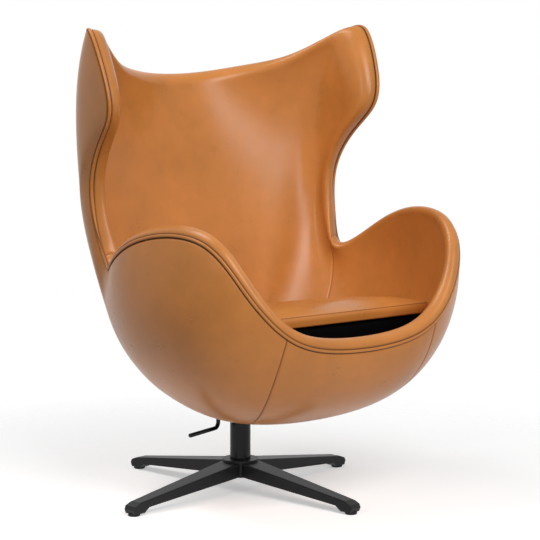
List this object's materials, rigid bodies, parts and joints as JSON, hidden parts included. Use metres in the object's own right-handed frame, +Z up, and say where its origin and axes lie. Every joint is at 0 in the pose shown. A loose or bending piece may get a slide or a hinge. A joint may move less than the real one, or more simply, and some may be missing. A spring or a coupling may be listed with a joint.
{
  "type": "winged shell lounge chair",
  "caption": "Winged egg-shaped lounge chair: leather shell with padded rolled rim and loose seat cushion, on a black star base that swivels and tilts.",
  "frame": {"origin": "on the floor under the middle of the chair's bounding box", "axes": "+Z up from the floor, the sitter faces -Y, +X to the sitter's left"},
  "size_m": [0.8046, 0.8328, 1.0993],
  "materials": {
    "leather": "smooth cognac leather with a soft sheen",
    "foam": "moulded upholstery foam",
    "fibreglass": "moulded glass-fibre laminate",
    "black_fabric": "black lining cloth over foam",
    "plywood": "plain plywood",
    "black_coat": "satin black powder coat",
    "black_tube": "gloss black paint",
    "black_plastic": "black moulded plastic",
    "nylon": "natural nylon",
    "steel": "bright zinc-plated steel",
    "rubber": "black rubber"
  },
  "bodies": {
    "base": {"star_base": "black_coat", "foot_glide_1": "black_plastic", "foot_glide_2": "black_plastic", "foot_glide_3": "black_plastic", "foot_glide_4": "black_plastic", "column_tube": "black_tube", "base_cap": "black_plastic", "lower_bush": "nylon", "upper_bush": "nylon", "thrust_washer": "nylon"},
    "swivel": {"spindle": "steel", "spindle_clip": "steel", "tilt_barrel": "black_coat", "torsion_rubber": "rubber", "barrel_bush_left": "nylon", "barrel_bush_right": "nylon", "front_stop_buffer": "rubber", "rear_stop_buffer": "rubber", "lever_guide": "nylon"},
    "lever": {"lever_rod": "black_tube", "lever_cam": "steel", "lever_collar": "steel"},
    "shell": {"tilt_shaft": "steel", "seat_plate": "black_coat", "plate_bolts": "steel", "floor_block": "plywood", "shell_core": "fibreglass", "outer_cover_front": "leather", "outer_cover_left": "leather", "outer_cover_right": "leather", "inner_cover_back": "leather", "inner_cover_seat": "leather", "rim_welt": "leather", "seat_cushion": "leather", "foam_front": "foam", "foam_arm_right": "foam", "foam_wing_right": "foam", "foam_back": "foam", "foam_wing_left": "foam", "foam_arm_left": "foam", "edge_roll_front": "foam", "edge_roll_arm_right": "foam", "edge_roll_wing_right": "foam", "edge_roll_back": "foam", "edge_roll_wing_left": "foam", "edge_roll_arm_left": "foam", "seat_board": "black_fabric", "seat_deck": "black_fabric", "underside_ring": "black_plastic"}
  },
  "joints": [
    {"name": "swivel", "type": "hinge", "parent": "base", "child": "swivel", "pos_m": [0, 0.054, 0.2], "axis": [0, 0, 1], "continuous": true},
    {"name": "tilt", "type": "hinge", "parent": "swivel", "child": "shell", "pos_m": [0, 0.054, 0.31], "axis": [-1, 0, 0], "range_deg": [0, 12], "stiffness_Nm_per_rad": 150, "springref_deg": -8.59, "deforming": ["torsion_rubber"]},
    {"name": "lever", "type": "hinge", "parent": "swivel", "child": "lever", "pos_m": [-0.05, 0.074, 0.2], "axis": [0, 0, 1], "range_deg": [0, 60]}
  ]
}
